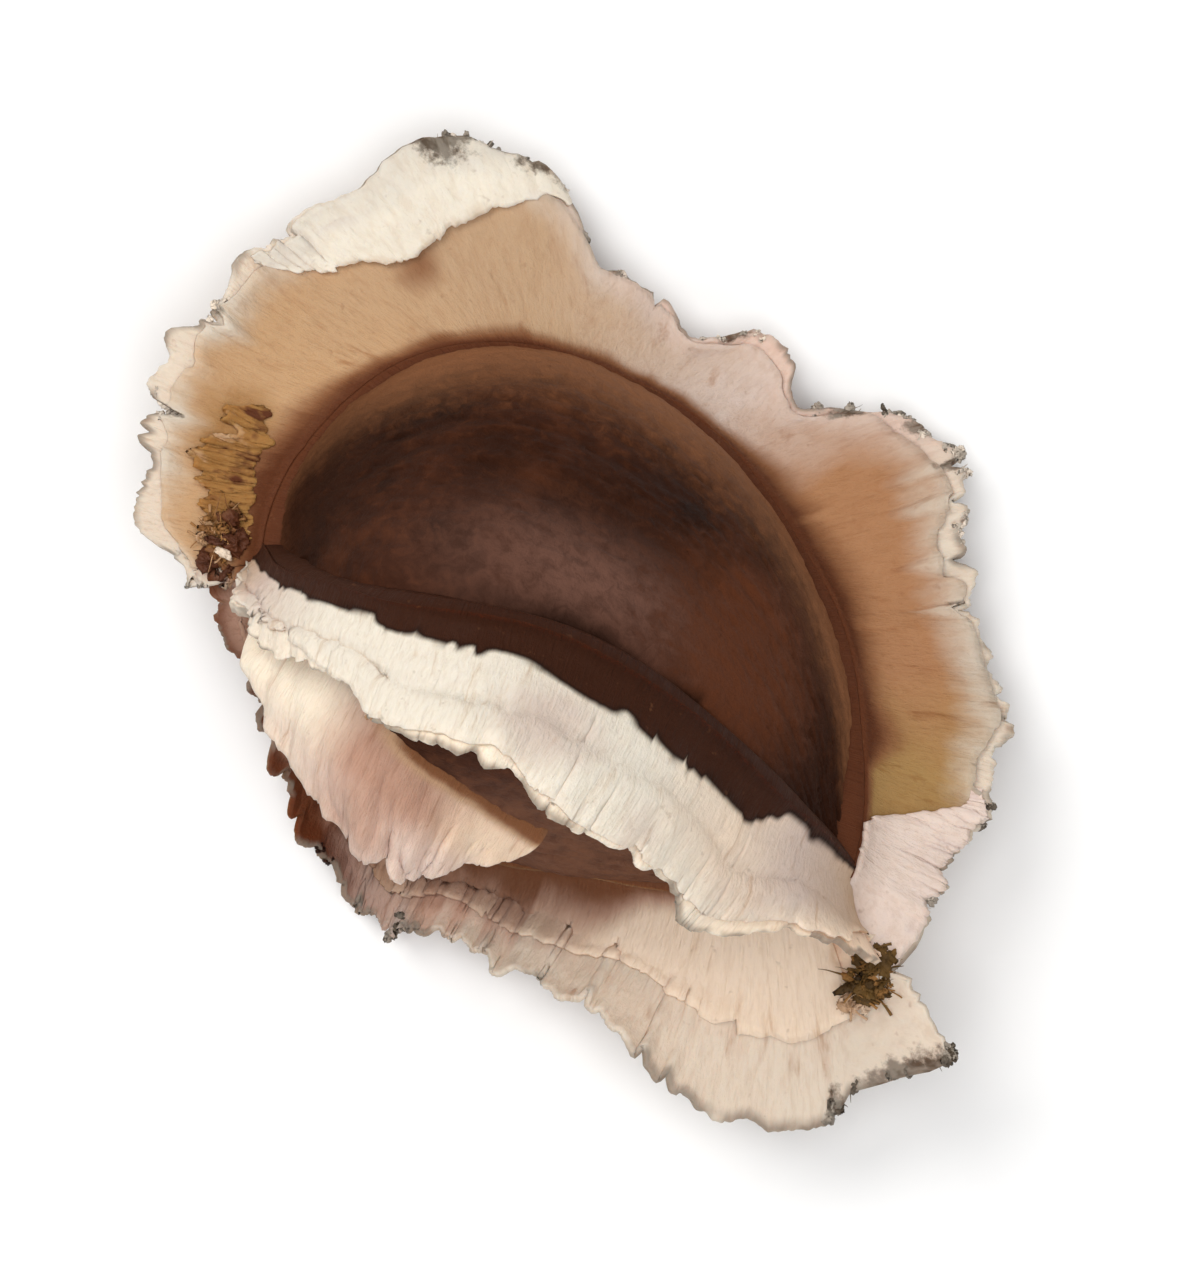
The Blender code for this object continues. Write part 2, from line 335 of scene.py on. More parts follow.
def blade(heap, sheet, thickness, **facts):
    """Adds a closed blade round a grid of points, as thick as thickness at each."""
    rows, columns = sheet.shape[:2]
    half = normals_of(sheet) * np.broadcast_to(thickness, (rows, columns))[..., None] / 2
    points = np.concatenate([(sheet + half).reshape(-1, 3), (sheet - half).reshape(-1, 3)])
    both = {}
    for key, value in facts.items():
        flat = np.broadcast_to(value, (rows, columns)).reshape(-1)
        both[key] = np.concatenate([flat, flat])
    heap.add(points, blade_faces(rows, columns), **both)


def closed_faces(rows, columns):
    """Faces of rings between two end points: the first point, the rings, then the last."""
    index = 1 + np.arange(rows * columns).reshape(rows, columns)
    after = np.roll(index, -1, axis=1)
    quads = np.stack([index[:-1], after[:-1], after[1:], index[1:]], axis=-1).reshape(-1, 4)
    last = rows * columns + 1
    faces = [tuple(face) for face in quads]
    faces += [(0, b, a) for a, b in zip(index[0], after[0])]
    faces += [(last, a, b) for a, b in zip(index[-1], after[-1])]
    return faces


def ring_values(grid):
    """A grid's values in the order of closed_faces: its columns close on themselves."""
    middle = grid[1:-1, :-1].reshape(-1, *grid.shape[2:])
    return np.concatenate([grid[0, :1], middle, grid[-1, :1]])


# Fibres, flakes and crumbs, in mm or as shares of their length

FIBRE_SIDES, FIBRE_STEPS = 6, 10
FIBRE_BEND, FIBRE_KINK, FIBRE_TAPER = 0.18, 0.05, 0.85
SIDEWAYS = (0.3, 0.2, 0.93)


def fibre(heap, draw, start, way, length, radius, **facts):
    """A thin closed fibre that bends at random and ends in a point."""
    steps = np.linspace(0, 1, FIBRE_STEPS)[:, None]
    way = unit(way)
    bend = draw.normal(size=3) * FIBRE_BEND * length
    kink = draw.normal(size=3) * FIBRE_KINK * length
    path = np.asarray(start) + way * length * steps + bend * steps**2 + kink * np.sin(5 * steps)
    ahead = unit(np.gradient(path, axis=0))
    first = unit(np.cross(ahead, SIDEWAYS))
    second = np.cross(ahead, first)
    turn = np.linspace(0, 2 * math.pi, FIBRE_SIDES, endpoint=False)[None, :, None]
    ring = np.cos(turn) * first[:, None] + np.sin(turn) * second[:, None]
    rings = path[:, None] + ring * (radius * (1 - FIBRE_TAPER * steps))[..., None]
    points = np.concatenate([path[:1], rings.reshape(-1, 3), path[-1:]])
    heap.add(points, closed_faces(FIBRE_STEPS, FIBRE_SIDES), **facts)


FLAKE_GRID = (16, 12)
FLAKE_TILT, FLAKE_CURL, FLAKE_RELIEF = 0.7, 1.3, 0.04
FLAKE_TIP, FLAKE_TAPERS = 0.85, (0.8, 2.5)
FLAKE_TEARS, TORN_SIDES, TORN_ENDS = 7, 0.5, 0.4
FLAKE_THICKNESSES = (0.04, 0.08)


def flake(heap, draw, centre, way, length, width, **facts):
    """A small torn flake, curled and ragged."""
    rows, columns = FLAKE_GRID
    way = unit(way)
    aside = unit(np.cross(way, draw.normal(size=3) * FLAKE_TILT + (0, 0, 1)))
    up = np.cross(aside, way)
    along = np.linspace(-0.5, 0.5, rows)[:, None]
    across = np.linspace(-0.5, 0.5, columns)[None, :]

    def torn(ahead, edge, depth, seed):
        places = on_grid(ahead * FLAKE_TEARS, np.sign(edge) * 3, draw.uniform(0, 9))
        return 1 + depth * layered(places, seed, 2)

    ragged = torn(along, across, TORN_SIDES, 3)
    taper = 1 - FLAKE_TIP * np.abs(2 * along) ** draw.uniform(*FLAKE_TAPERS)
    end = torn(across, along, TORN_ENDS, 4)
    curl = draw.uniform(-FLAKE_CURL, FLAKE_CURL)
    roll = draw.uniform(-FLAKE_CURL, FLAKE_CURL)
    sheet = np.asarray(centre) + (along * length * end)[..., None] * way
    sheet = sheet + (across * width * ragged * taper)[..., None] * aside
    sheet = sheet + (curl * length * along**2 + roll * width * across**2)[..., None] * up
    lumps = layered(on_grid(along * 5, across * 5, draw.uniform(0, 9)), 5, 2)
    sheet = sheet + FLAKE_RELIEF * lumps[..., None] * up
    blade(heap, sheet, draw.uniform(*FLAKE_THICKNESSES), **facts)


LARGE_CRUMB = 0.2

# A crumb's relief: its height as a share of the crumb, and how close it is
CRUMB_LUMPS = (0.36, 1.3)
CRUMB_GRAIN = (0.16, 5)


def crumb(heap, centre, sizes, seed, **facts):
    """A rough crumb of broken tissue."""
    rows, columns = (40, 54) if max(sizes) > LARGE_CRUMB else (18, 26)
    down = np.linspace(0, math.pi, rows)[:, None]
    turn = np.linspace(0, 2 * math.pi, columns)[None, :]
    ball = on_grid(np.sin(down) * np.cos(turn), np.sin(down) * np.sin(turn), -np.cos(down) + 0 * turn)
    swell = 1 + CRUMB_LUMPS[0] * layered(ball * CRUMB_LUMPS[1] + seed, seed, 2)
    swell = swell + CRUMB_GRAIN[0] * layered(ball * CRUMB_GRAIN[1] + seed, seed + 3, 3, 0.7)
    points = np.asarray(centre) + ball * np.asarray(sizes) * swell[..., None]
    heap.add(ring_values(points), closed_faces(rows - 2, columns - 1), **facts)


# What a clump is made of, in mm
SCATTER_LIMIT = 1.4
CRUMB_SIZES = (0.05, 0.15)
CRUMB_SEEDS = 99
BIT_LENGTHS = (0.2, 0.5)
FLAKE_WIDTHS = (0.06, 0.17)
FLAKE_FLATNESS = (1, 1, 0.4)
FIBRES_A_FLAKE = 4
FIBRE_RADII = (0.015, 0.03)
FIBRE_FLATNESS = (1, 1, 0.3)


def clump(heap, draw, centre, spread, crumbs, flakes, tones):
    """Small crumbs, flakes and fibres matted together."""

    def scattered():
        return centre + np.clip(draw.normal(size=3), -SCATTER_LIMIT, SCATTER_LIMIT) * spread

    for _ in range(crumbs):
        spot, sizes = scattered(), draw.uniform(*CRUMB_SIZES, 3)
        crumb(heap, spot, sizes, int(draw.integers(CRUMB_SEEDS)), tone=draw.uniform(*tones))
    for _ in range(flakes):
        spot, way = scattered(), draw.normal(size=3) * FLAKE_FLATNESS
        length, width = draw.uniform(*BIT_LENGTHS), draw.uniform(*FLAKE_WIDTHS)
        flake(heap, draw, spot, way, length, width, tone=draw.uniform(*tones))
    for _ in range(FIBRES_A_FLAKE * flakes):
        spot, way = scattered(), draw.normal(size=3) * FIBRE_FLATNESS
        length, radius = draw.uniform(*BIT_LENGTHS), draw.uniform(*FIBRE_RADII)
        fibre(heap, draw, spot - way * length / 3, way, length, radius, tone=draw.uniform(*tones))


# Hull

# Its relief: the height in mm, and how close it is, round the hull and along it
DENTS = (0.10, 0.38)
WRINKLES = (0.050, 9, 0.55)
CREASES = (0.030, 24, 2.2)
PORES = (0.016, 7.5)
CREASE_SWAYS = 0.9
SKIN_DROP = 0.07
SMOOTH_ENDS = 0.06

# Its colours' places: degrees round from its top corner, and shares of its length
SHADE_WIDTH, SHADE_EDGE, SHADE_BREAKS = 13, 7, 46
SHADE_START, SHADE_FADE = 0.30, 0.2
WARM_TURN, WARM_WIDTH = 240, 58
FACET_ENDS, FACET_FADES = (24, 118), (34, 24)
FACET_WARMTH, FACET_MAUVE = 0.30, 0.8
HIGHLIGHT_TURN, HIGHLIGHT_PLACE, HIGHLIGHT_SIZES = 338, 0.45, (15, 0.13)


def hull_surface():
    """The hull's grid, finely wrinkled, and how high the wrinkles stand."""
    share = np.linspace(0, 1, HULL_RINGS + 1)[:, None]
    turn = np.linspace(0, 2 * math.pi, HULL_SIDES + 1)[None, :]
    x = HULL_MIDDLE - HALF_LENGTH * np.cos(math.pi * share)
    skin = place(x, section_radius(turn) * fullness(x), TOP_CORNER + turn)
    ends = ease(np.minimum(share, 1 - share) / SMOOTH_ENDS)
    around = on_grid(np.cos(turn), np.sin(turn), 0 * x)
    ahead = on_grid(0 * turn, 0 * turn, x)
    dents = layered(skin * DENTS[1], 5, 2)
    wrinkles = 1 - np.abs(layered(around * WRINKLES[1] + ahead * WRINKLES[2], 21, 3))
    sway = layered(skin * CREASE_SWAYS, 8, 2)[..., None]
    creases = 1 - np.abs(layered(around * CREASES[1] + ahead * CREASES[2] + sway, 31, 3))
    pores = layered(skin * PORES[1], 43, 3)
    height = DENTS[0] * dents + WRINKLES[0] * wrinkles + CREASES[0] * creases + PORES[0] * pores - SKIN_DROP
    return skin - normals_of(skin) * (height * ends)[..., None], height


def hull(material):
    skin, height = hull_surface()
    turn, along = np.meshgrid(np.linspace(0, 360, HULL_SIDES + 1), np.linspace(0, 1, HULL_RINGS + 1))
    # Painted shade on the big facet beside the top wing's root, coming in from a share of the length on
    painted_shade = ease((SHADE_WIDTH - (360 - turn) + SHADE_EDGE * angular(along, SHADE_BREAKS, 9)) / SHADE_EDGE)
    painted_shade *= ease((along - SHADE_START) / SHADE_FADE)
    facet = ease((turn - FACET_ENDS[0]) / FACET_FADES[0])
    facet *= ease((FACET_ENDS[1] - turn) / FACET_FADES[1])
    warm = ease((WARM_WIDTH - np.abs(turn - WARM_TURN)) / WARM_WIDTH)
    warm += FACET_WARMTH * facet
    # A painted highlight near the top corner of the big facet, and a mauve tint on the facet between the
    # top and tucked wings
    round_highlight = (turn - HIGHLIGHT_TURN) / HIGHLIGHT_SIZES[0]
    along_highlight = (along - HIGHLIGHT_PLACE) / HIGHLIGHT_SIZES[1]
    highlight_and_mauve = np.exp(-(round_highlight**2) - along_highlight**2) + FACET_MAUVE * facet
    facts = {"warm": np.minimum(warm, 1), "along": along, "relief": height, "painted_shade": painted_shade, "highlight_and_mauve": highlight_and_mauve}
    facts = {key: ring_values(grid) for key, grid in facts.items()}
    heap = Heap()
    heap.add(ring_values(skin), closed_faces(HULL_RINGS - 1, HULL_SIDES), **facts)
    heap.piece("hull", material)


# Wings

# How fast the wing's ends change, as one over a share of its root
CLOSED_END = 60
ROUGH_END = 22
ROUGH_END_DEPTH = 0.26

# Its curls and crease, with places as shares of the reach, and its puckers' relief in mm
CURLS = 13
CURL_START = 0.62
CURL_RUN = 0.38
PUCKERS = (0.17, 15, 0.9)
FINE_PUCKERS = (0.035, 55, 2.5)
PUCKER_GROWTH = 1.3
CREASE_PLACE, CREASE_WIDTH = 0.5, 0.06
CREASE_SWAY, CREASE_WAVES = 0.1, 5
VALLEY_PLACE, VALLEY_WIDTH, VALLEY_DEPTH = 0.22, 0.08, 0.7


def wing_grid(kind, fraction, share, reach):
    """Points at shares of a wing's reach: it leans, ripples, puckers and curls at its rim."""
    corner = TOP_CORNER + math.radians(kind.turn)
    x, radius, out_x, out_r = (part[:, None] for part in root_line(0)(fraction))
    near_end = ease(1 - np.minimum(fraction, 1 - fraction) * CLOSED_END)[:, None]
    end_way = np.where(fraction < 0.5, -1.0, 1.0)[:, None]
    radius = radius + (-kind.overshoot - radius) * near_end
    out_x = out_x + (end_way - out_x) * near_end
    out_r = out_r * (1 - near_end)
    along = fraction[:, None]
    ends = ease(np.minimum(along, 1 - along) / UPRIGHT_END)
    dense = np.linspace(0, 1, REACH_STEPS + 1)[None, :]
    curl = kind.curl * grain(on_grid(along * CURLS, kind.seed, 3.5), 2)
    curl = curl * ease((dense - CURL_START) / CURL_RUN)
    lean = np.radians(kind.root_lean + (kind.rim_lean - kind.root_lean) * dense + curl) * ends
    where = np.clip(share, 0, 1) * REACH_STEPS
    below = np.minimum(where.astype(int), REACH_STEPS - 1)

    def summed(part):
        """How far the steps of a lean's part have come at each share."""
        steps = reach[:, None] / REACH_STEPS * part[:, 1:]
        total = np.concatenate([np.zeros((len(fraction), 1)), np.cumsum(steps, axis=1)], axis=1)
        low = np.take_along_axis(total, below, axis=1)
        return low + (np.take_along_axis(total, below + 1, axis=1) - low) * (where - below)

    far = summed(np.cos(lean)) + np.minimum(share, 0) * reach[:, None]
    ripple = kind.wave * share * np.sin(HALF_WAVES * along * math.pi + kind.seed)
    broad = lumps(along, share, PUCKERS, kind.seed, kind.seed, 3)
    tight = lumps(along, share, FINE_PUCKERS, kind.seed + 0.5, kind.seed + 9, 3)
    pucker = kind.pucker * (broad + tight) * np.clip(share, 0, 1) ** PUCKER_GROWTH
    sway = CREASE_SWAY * grain(on_grid(along * CREASE_WAVES, kind.seed, 6.5), 4)
    off_crease = share - CREASE_PLACE - sway
    ridge = np.exp(-((off_crease / CREASE_WIDTH) ** 2))
    valley = np.exp(-(((off_crease - VALLEY_PLACE) / VALLEY_WIDTH) ** 2))
    fold = kind.fold * (ridge - VALLEY_DEPTH * valley)
    aside = summed(np.sin(lean)) + (ripple + pucker + fold) * ends
    return place(x + out_x * far, radius + out_r * far, corner, aside)


# Breaks in a rim: their depth in mm, and how many there are
BREAKS = (0.11, 80)
SMALL_BREAKS = (0.055, 230)
NICKS = (0.035, 300)
SLITS = 12
SLIT_PLACES = (0.04, 0.97)
SLIT_WIDTHS = (0.002, 0.006)
SLIT_CUTS = (0.15, 0.50)
LEAST_REACH = 0.25


def torn_reach(kind, fraction):
    """The solid's rim with finer breaks and slits in it."""
    draw = np.random.default_rng(kind.seed * 7)
    breaks = BREAKS[0] * angular(fraction, BREAKS[1], kind.seed)
    breaks = breaks + SMALL_BREAKS[0] * angular(fraction, SMALL_BREAKS[1], kind.seed + 1)
    breaks += NICKS[0] * grain(on_grid(fraction * NICKS[1], kind.seed, 0.5), kind.seed)
    for centre in draw.uniform(*SLIT_PLACES, SLITS):
        width, cut = draw.uniform(*SLIT_WIDTHS), draw.uniform(*SLIT_CUTS)
        breaks -= cut * np.clip(1 - np.abs(fraction - centre) / width, 0, 1)
    reach = between(kind.reach, fraction) + rim_tear(fraction, kind.seed) + kind.tears * breaks
    return np.maximum(reach, LEAST_REACH)


RIM_THICKNESS = 0.11
INNER_THICKNESS = 0.20
ROOT_SWELLING = 0.95
SWELLING_WIDTH = 0.26


def wing_thickness(share, reach):
    """Swollen where it leaves the hull, and as thin as paper at the rim."""
    off = np.clip(share, 0, None) * reach[:, None]
    inner = INNER_THICKNESS * np.clip(1 - share, 0, 1) ** 2
    return RIM_THICKNESS + inner + ROOT_SWELLING * np.exp(-off / SWELLING_WIDTH)


STAIN_RAGGEDNESS = 0.22
STAIN_BREAKS = 60


def stained(kind, fraction, share, reach):
    """How dark the wing is: 1 at its root, and 0 past its stained edge."""
    ragged = 1 + STAIN_RAGGEDNESS * angular(fraction, STAIN_BREAKS, kind.seed + 5)
    width = between(kind.stain, fraction) * ragged
    return ease((1 - np.clip(share, 0, 1) * reach[:, None] / width[:, None]) * kind.hardness)


# A frayed spot's width and depth, as shares, by its size
FRAY_LEAST_WIDTH = 0.001
FRAY_WIDTH = 0.008
FRAY_DEPTH = 0.26
FRAY_FADE = 0.20


def frayed(kind, fraction, share):
    """How frayed and grey the wing is: 1 in the middle of each frayed spot on its rim."""
    most = 0 * share
    for frayed_kind, middle, size, _ in FRAYS:
        if frayed_kind is kind:
            width = FRAY_LEAST_WIDTH + FRAY_WIDTH * size
            near = np.exp(-(((fraction - middle) / width) ** 2))[:, None]
            most = np.maximum(most, near * ease((share - 1 + FRAY_DEPTH * size) / FRAY_FADE))
    return most


def wing_facts(kind, fraction, share, reach, layer):
    """What the wing's material reads at each point."""
    return {
        "reach": np.clip(share, 0, 1),
        "along": fraction[:, None],
        "layer": layer,
        "stain": stained(kind, fraction, share, reach),
        "frayed": frayed(kind, fraction, share),
    }


# Layers, by which a wing's material tells them apart
OWN_LAYER = 0.0
SKIN_LAYER = 1.0
LOBE_LAYER = 2.0
CORNER_LAYER = 3.0
BARK_LAYER = 4.0


def skin(heap, kind, fraction, inner, outer, lift, layer, thickness, side):
    """A thin skin that lies on one side of a wing, between two shares of its reach."""
    reach = torn_reach(kind, fraction)
    across = np.linspace(0, 1, SKIN_COLUMNS)[None, :]
    share = inner[:, None] + (outer - inner)[:, None] * across
    sheet = wing_grid(kind, fraction, share, reach)
    off = wing_thickness(share, reach) / 2 + lift(fraction[:, None], across)
    sheet = sheet + side * normals_of(sheet) * off[..., None]
    blade(heap, sheet, thickness, **wing_facts(kind, fraction, share, reach, layer))


COVER_BREAKS = (30, 140)
SMALL_COVER_BREAKS = 0.3
COVER_LIMITS = (0.2, 0.97)


def cover_of(kind, fraction, share, spread, seed):
    """How far out a skin reaches before it is torn off, as shares of the wing's reach."""
    torn = spread * angular(fraction, COVER_BREAKS[0], seed)
    torn = torn + SMALL_COVER_BREAKS * spread * angular(fraction, COVER_BREAKS[1], seed + 1)
    smooth = between(kind.reach, fraction) / torn_reach(kind, fraction)
    return np.clip((share + torn) * smooth, *COVER_LIMITS)


# The two skins of a wing: lengths in mm, and places as shares
SKIN_ENDS = (0.012, 0.988)
SKIN_START = 0.02
SKIN_THICKNESS = 0.055
SKIN_LIFT = 0.02
EDGE_LIFT = 0.045
EDGE_START = 0.8
EDGE_RUN = 0.2
EDGE_WAVES = 40


def loose_edge(seed):
    """A function to how far a skin lifts off its wing, most at its torn edge."""

    def lift(along, across):
        loose = 1 + grain(on_grid(along * EDGE_WAVES, across, 0.0), seed)
        return SKIN_LIFT + EDGE_LIFT * ease((across - EDGE_START) / EDGE_RUN) * loose

    return lift


def wing(kind, upper, under):
    """The wing's own membrane, with a skin on its upper and on its under side."""
    heap = Heap()
    fraction = np.linspace(0, 1, WING_ROWS)
    reach = torn_reach(kind, fraction)
    sunk = -ROOT_SINK / reach[:, None] * np.linspace(1, 0, SINK_COLUMNS, endpoint=False)
    share = np.linspace(0, 1, WING_COLUMNS)[None, :] + 0 * reach[:, None]
    share = np.concatenate([sunk, share], axis=1)
    sheet = wing_grid(kind, fraction, share, reach)
    ahead = unit(np.gradient(sheet, axis=0))
    near_end = ease(1 - np.minimum(fraction, 1 - fraction) * ROUGH_END)[:, None]
    rough = layered(on_grid(share * 4, 0 * share, kind.seed), kind.seed, 4, 0.7)
    push = ROUGH_END_DEPTH * near_end * rough
    sheet = sheet + ahead * push[..., None]
    facts = wing_facts(kind, fraction, share, reach, OWN_LAYER)
    blade(heap, sheet, wing_thickness(share, reach), **facts)
    rows = np.linspace(*SKIN_ENDS, SKIN_ROWS)
    inner = SKIN_START + 0 * rows
    for side, (cover, spread) in ((kind.up, upper), (-kind.up, under)):
        seed = kind.seed + 2 + side
        outer = cover_of(kind, rows, cover, spread, seed)
        skin(heap, kind, rows, inner, outer, loose_edge(seed), SKIN_LAYER, SKIN_THICKNESS, side)
    return heap


def rim_point(kind, fraction):
    """A point on a wing's rim, and the way on from it."""
    fraction = np.array([fraction])
    ends = wing_grid(kind, fraction, np.array([[0.86, 1.0]]), torn_reach(kind, fraction))[0]
    return ends[1], unit(ends[1] - ends[0])


# Torn patches on the spread wing

# Their ends along its root, edges as shares of its reach, heights in mm, breaks and lumps
PATCH_THICKNESS = 0.07
LOBE_ENDS, LOBE_ROUNDNESS = (0.275, 0.392), 0.6
LOBE_INNER, LOBE_OUTER = (0.95, 0.38), (0.965, 0.03)
LOBE_BREAKS = ((0.018, 12, 6), (0.010, 60, 8))
LOBE_LIFT, LOBE_RISE, LOBE_SWELL = 0.04, 0.10, 0.05
LOBE_LUMPS = (0.5, 70, 2)
BARK_ENDS, BARK_ROUNDNESS = (0.035, 0.175), 0.5
BARK_INNER, BARK_WIDTH = (0.12, 0.16), (0.04, 0.36)
BARK_BREAKS = ((0.05, 16, 12), (0.035, 60, 13))
BARK_LIFT, BARK_RISE = 0.05, 0.13
BARK_LUMPS, BARK_FURROWS = (0.7, 90, 1.5), (0.05, 150, 1.2)
CORNER_ENDS = (0.850, 0.997)
CORNER_INNER, CORNER_SLANT, CORNER_OUTER = (0.88, 0.84), 0.55, 0.95
CORNER_BREAKS = ((0.025, 22, 3), (0.03, 30, 4))
CORNER_LIFT, CORNER_RISE, CORNER_FADES = 0.04, 0.17, (4, 6)


def patch_rows(ends):
    """Places along the wing's root for a patch, and how far along the patch each is."""
    rows = np.linspace(*ends, PATCH_ROWS)
    return rows, (rows - rows[0]) / (rows[-1] - rows[0])


def lobe():
    """The torn lobe folded back over the spread wing near the blunt end."""
    rows, share = patch_rows(LOBE_ENDS)
    bulge = np.sin(math.pi * share) ** LOBE_ROUNDNESS
    inner = LOBE_INNER[0] - LOBE_INNER[1] * bulge + broken(share, LOBE_BREAKS)
    outer = LOBE_OUTER[0] + LOBE_OUTER[1] * bulge

    def lift(along, across):
        rise = LOBE_RISE * (1 - across) ** 1.5 + LOBE_SWELL * np.sin(math.pi * across)
        rise = rise * bulge[:, None] * (1 + lumps(along, across, LOBE_LUMPS, 1.0, 6, 1))
        return LOBE_LIFT + rise

    return rows, inner, outer, lift, LOBE_LAYER


def torn_bark():
    """The brown torn layer on the spread wing beside the blunt tuft."""
    rows, share = patch_rows(BARK_ENDS)
    bulge = np.clip(np.sin(math.pi * share), 0, 1) ** BARK_ROUNDNESS
    torn = broken(share, BARK_BREAKS)
    inner = BARK_INNER[0] + BARK_INNER[1] * share + torn / 2
    outer = inner + BARK_WIDTH[0] + (BARK_WIDTH[1] + torn) * bulge

    def lift(along, across):
        rise = BARK_RISE * across**2 * (1 + lumps(along, across, BARK_LUMPS, 4.0, 14, 2))
        furrows = lumps(along, across, BARK_FURROWS, 1.0, 15, 3)
        return BARK_LIFT + (rise + furrows) * bulge[:, None]

    return rows, inner, outer, lift, BARK_LAYER


def corner_fold():
    """The torn pale fold at the spread wing's pointed end."""
    rows, share = patch_rows(CORNER_ENDS)
    slant = CORNER_INNER[0] - CORNER_INNER[1] * ease(share / CORNER_SLANT)
    inner = slant + broken(share, CORNER_BREAKS[:1])
    outer = CORNER_OUTER + broken(share, CORNER_BREAKS[1:])

    def lift(along, across):
        fold = ease(share * CORNER_FADES[0]) * ease((1 - share) * CORNER_FADES[1])
        return CORNER_LIFT + CORNER_RISE * fold[:, None] * (1 + np.sin(math.pi * across)) / 2

    return rows, inner, outer, lift, CORNER_LAYER


# Loose membrane on the facet between the top and the tucked wing, in mm, degrees and shares

FLAP_TURNS = (5, 66)
FLAP_ENDS = (0.06, 0.61)
FLAP_ROOT = -0.75
FLAP_REACH = 2.3
FLAP_ROUNDNESS = 0.5
FLAP_LEAN = 40
FLAP_CURL = 30
FLAP_CRUMPLE = (8, 14, 2.5)
FLAP_SEED = 31
FLAP_ROWS = 260
FLAP_COLUMNS = 30
FLAP_BREAKS = ((0.09, 60, 4), (0.05, 150, 5))
FLAP_THICKNESS = 0.13
FLAP_SWELLING = 0.25
FLAP_SWELLING_WIDTH = 0.3
FLAP_STAIN_WIDTH = 0.35
FLAP_STAIN_START = 0.35
FLAP_STAIN_FADE = 0.2


def flap(material):
    share = (1 - np.cos(np.linspace(0, math.pi, FLAP_ROWS))) / 2
    start, end = FLAP_ENDS
    turn = FLAP_TURNS[0] + (FLAP_TURNS[1] - FLAP_TURNS[0]) * share
    angle = TOP_CORNER + np.radians(turn)[:, None]
    fractions = start + (end - start) * share
    lines = [root_line(degrees)(fraction) for degrees, fraction in zip(turn, fractions)]
    x, radius, out_x, out_r = (part[:, None] for part in np.array(lines).T)
    bulge = np.maximum(np.sin(math.pi * share), 0) ** FLAP_ROUNDNESS
    tear = broken(share, FLAP_BREAKS, rim_tear(share / 2, FLAP_SEED))
    reach = ((FLAP_REACH + tear) * bulge + FLAP_ROOT / 3)[:, None]
    column = np.linspace(0, 1, FLAP_COLUMNS)[None, :]
    far = FLAP_ROOT + (reach - FLAP_ROOT) * column
    crumple = lumps(share[:, None], column, FLAP_CRUMPLE, 2.0, 3, 2)
    lean = np.radians(FLAP_LEAN + FLAP_CURL * np.maximum(far, 0) / FLAP_REACH + crumple)
    outward = far * np.cos(lean)
    sheet = place(x + out_x * outward, radius + out_r * outward, angle, far * np.sin(lean))
    thickness = FLAP_THICKNESS + FLAP_SWELLING * np.exp(-np.maximum(far, 0) / FLAP_SWELLING_WIDTH)
    stain = ease(1 - far / FLAP_STAIN_WIDTH)
    stain = stain * ease((share - FLAP_STAIN_START) / FLAP_STAIN_FADE)[:, None]
    reached = np.clip(far / FLAP_REACH, 0, 1)
    facts = {"reach": reached, "along": share[:, None], "layer": OWN_LAYER, "stain": stain, "frayed": 0.0}
    heap = Heap()
    blade(heap, sheet, thickness, **facts)
    heap.piece("flap", material)


# Tufts of torn fibres where the wings meet past each end

# A tuft: seed, centre, then its crumbs (offset, sizes, seed, tone), then its clumps
# (offset, spread, crumbs, flakes, tones), all in mm
BLUNT_TUFT = (
    51,
    (-4.15, -1.85, 3.35),
    (
        ((0.10, 0.22, 0.0), (0.25, 0.22, 0.22), 4, 0.17),
        ((-0.10, -0.34, -0.05), (0.22, 0.18, 0.20), 7, 0.15),
        # The pale third crumb, between the two dark ones, is a painted glint
        ((0.04, -0.08, 0.17), (0.16, 0.07, 0.07), 9, 0.45),
    ),
    (
        ((0.02, 0.1, 0.04), (0.15, 0.26, 0.06), 5, 12, (0.12, 0.38)),
        ((-0.28, 0.25, -0.04), (0.12, 0.24, 0.04), 2, 10, (0.16, 0.38)),
    ),
)
POINTED_TUFT = (
    77,
    (8.35, -1.6, 3.2),
    (
        ((-0.05, 0.12, 0.0), (0.34, 0.28, 0.26), 12, 0.84),
        ((0.08, -0.38, 0.0), (0.26, 0.22, 0.22), 15, 0.86),
    ),
    (
        ((0.0, -0.1, 0.08), (0.18, 0.28, 0.08), 10, 14, (0.78, 0.98)),
        ((0.24, -0.10, 0.02), (0.10, 0.22, 0.05), 3, 8, (0.84, 1.00)),
        ((0.05, -0.66, -0.10), (0.14, 0.10, 0.04), 2, 4, (0.38, 0.44)),
    ),
)


def tuft(heap, seed, centre, crumbs, clumps):
    draw = np.random.default_rng(seed)
    centre = np.array(centre)
    for offset, sizes, crumb_seed, tone in crumbs:
        crumb(heap, centre + offset, sizes, crumb_seed, tone=tone)
    for offset, spread, small_crumbs, flakes, tones in clumps:
        clump(heap, draw, centre + offset, spread, small_crumbs, flakes, tones)


# Frayed spots on the rims: the wing, the place along its root, the size in mm and the tone
FRAYS = (
    (SPREAD, 0.362, 0.85, 0.64), (SPREAD, 0.384, 0.70, 0.60), (SPREAD, 0.412, 0.55, 0.64),
    (SPREAD, 0.475, 0.55, 0.60), (SPREAD, 0.547, 0.80, 0.68), (SPREAD, 0.574, 0.75, 0.62),
    (SPREAD, 0.875, 0.60, 0.68), (SPREAD, 0.965, 0.60, 0.60), (SPREAD, 0.230, 0.50, 0.56),
    (SPREAD, 0.145, 0.65, 0.62), (TUCKED, 0.455, 0.60, 0.70), (TUCKED, 0.974, 0.80, 0.70),
    (TUCKED, 0.993, 0.75, 0.70), (TUCKED, 0.300, 0.40, 0.06), (TOP, 0.330, 0.30, 0.40),
    (SPREAD, 0.603, 0.60, 0.62), (SPREAD, 0.640, 0.45, 0.62),
)
FRAY_SEED = 23

